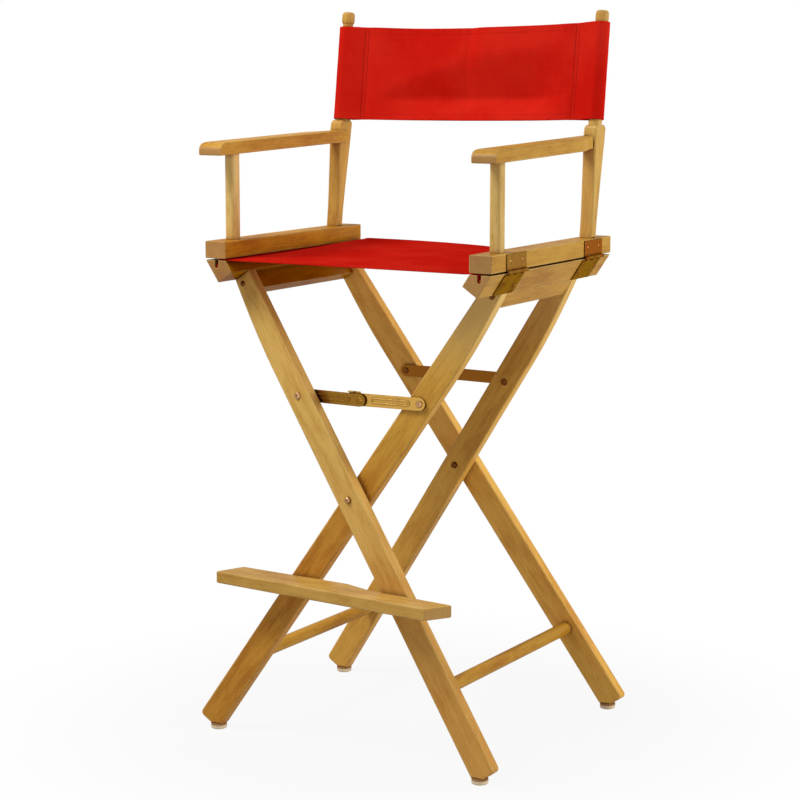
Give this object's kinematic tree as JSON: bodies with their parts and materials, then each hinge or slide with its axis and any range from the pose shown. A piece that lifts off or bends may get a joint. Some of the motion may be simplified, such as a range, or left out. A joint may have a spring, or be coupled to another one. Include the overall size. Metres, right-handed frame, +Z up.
{
  "type": "folding director's chair",
  "caption": "Tall wooden director's chair with crossed folding legs, brass folding stays, hinged arm frames, canvas seat and back, and a footrest board.",
  "frame": {"origin": "on the floor, under the middle of the whole chair's box", "axes": "+Z up, -Y towards the front of the chair where the sitter faces, +X towards the viewer's right when facing the front"},
  "size_m": [0.5546, 0.5048, 1.1552],
  "materials": {
    "wood": "satin varnished natural hardwood",
    "canvas": "matt plain-weave cotton canvas",
    "brass": "aged satin",
    "steel": "zinc plated",
    "glides": "moulded, slightly worn"
  },
  "bodies": {
    "outer_frame": {"leg_front_outer": "wood", "leg_rear_outer": "wood", "seat_rail_left": "wood", "apron_left": "wood", "stretcher_right": "wood", "glide_front_right": "glides", "glide_rear_right": "glides", "cross_bolt_front": "steel", "cross_bolt_rear": "steel", "cross_nut_front": "steel", "cross_nut_rear": "steel", "cross_washer_front": "steel", "cross_washer_rear": "steel", "hinge_lower_front_left": "brass", "hinge_lower_rear_left": "brass", "stay_bolt_front": "steel", "stay_screw_rear": "steel", "seat_dowel_left": "wood", "leg_screw_front_outer": "steel", "leg_screw_rear_outer": "steel", "seat_canvas": "canvas"},
    "inner_frame": {"leg_front_inner": "wood", "leg_rear_inner": "wood", "seat_rail_right": "wood", "apron_right": "wood", "stretcher_left": "wood", "glide_front_left": "glides", "glide_rear_left": "glides", "hinge_lower_front_right": "brass", "hinge_lower_rear_right": "brass", "stay_screw_front": "steel", "stay_bolt_rear": "steel", "seat_dowel_right": "wood", "leg_screw_front_inner": "steel", "leg_screw_rear_inner": "steel"},
    "left_arm": {"arm_rail_left": "wood", "front_post_left": "wood", "back_post_left": "wood", "armrest_left": "wood", "hinge_upper_front_left": "brass", "hinge_upper_rear_left": "brass", "back_canvas": "canvas"},
    "right_arm": {"arm_rail_right": "wood", "front_post_right": "wood", "back_post_right": "wood", "armrest_right": "wood", "hinge_upper_front_right": "brass", "hinge_upper_rear_right": "brass"},
    "stay_front_left": {"stay_link_front_left": "brass"},
    "stay_front_right": {"stay_link_front_right": "brass"},
    "stay_rear_left": {"stay_link_rear_left": "brass"},
    "stay_rear_right": {"stay_link_rear_right": "brass"},
    "footrest": {"footrest_board": "wood", "footrest_peg_1": "steel", "footrest_peg_2": "steel"}
  },
  "joints": [
    {"name": "fold", "type": "hinge", "parent": "outer_frame", "child": "inner_frame", "pos_m": [0, 0.0133, 0.4045], "axis": [0, -1, 0], "range_deg": [0, 59], "deforming": ["seat_canvas", "back_canvas"]},
    {"name": "left_arm_fold", "type": "hinge", "parent": "outer_frame", "child": "left_arm", "pos_m": [-0.2582, 0.0098, 0.7675], "axis": [0, -1, 0], "range_deg": [0, 29.5]},
    {"name": "right_arm_fold", "type": "hinge", "parent": "inner_frame", "child": "right_arm", "pos_m": [0.2582, 0.0098, 0.7675], "axis": [0, 1, 0], "range_deg": [0, 29.5]},
    {"name": "stay_front_left_fold", "type": "hinge", "parent": "outer_frame", "child": "stay_front_left", "pos_m": [-0.10121, -0.14262, 0.55592], "axis": [-0.0476, -0.9963, 0.0712], "range_deg": [0, 111.8]},
    {"name": "stay_front_right_fold", "type": "hinge", "parent": "inner_frame", "child": "stay_front_right", "pos_m": [0.10162, -0.13919, 0.55653], "axis": [-0.0476, 0.9963, -0.0712], "range_deg": [0, 111.8]},
    {"name": "stay_rear_left_fold", "type": "hinge", "parent": "outer_frame", "child": "stay_rear_left", "pos_m": [-0.10121, 0.16922, 0.55592], "axis": [0.0476, -0.9963, -0.0712], "range_deg": [0, 111.8]},
    {"name": "stay_rear_right_fold", "type": "hinge", "parent": "inner_frame", "child": "stay_rear_right", "pos_m": [0.10162, 0.16579, 0.55653], "axis": [0.0476, 0.9963, 0.0712], "range_deg": [0, 111.8]},
    {"name": "footrest_pull", "type": "slide", "parent": "outer_frame", "child": "footrest", "axis": [0, -1, 0], "range_m": [0, 0.04]}
  ],
  "couplings": [
    {"joint": "left_arm_fold", "follows": "fold", "ratio": 0.5},
    {"joint": "right_arm_fold", "follows": "fold", "ratio": 0.5},
    {"joint": "stay_front_left_fold", "follows": "fold", "ratio": 1.8949},
    {"joint": "stay_front_right_fold", "follows": "fold", "ratio": 1.8949},
    {"joint": "stay_rear_left_fold", "follows": "fold", "ratio": 1.8949},
    {"joint": "stay_rear_right_fold", "follows": "fold", "ratio": 1.8949}
  ]
}
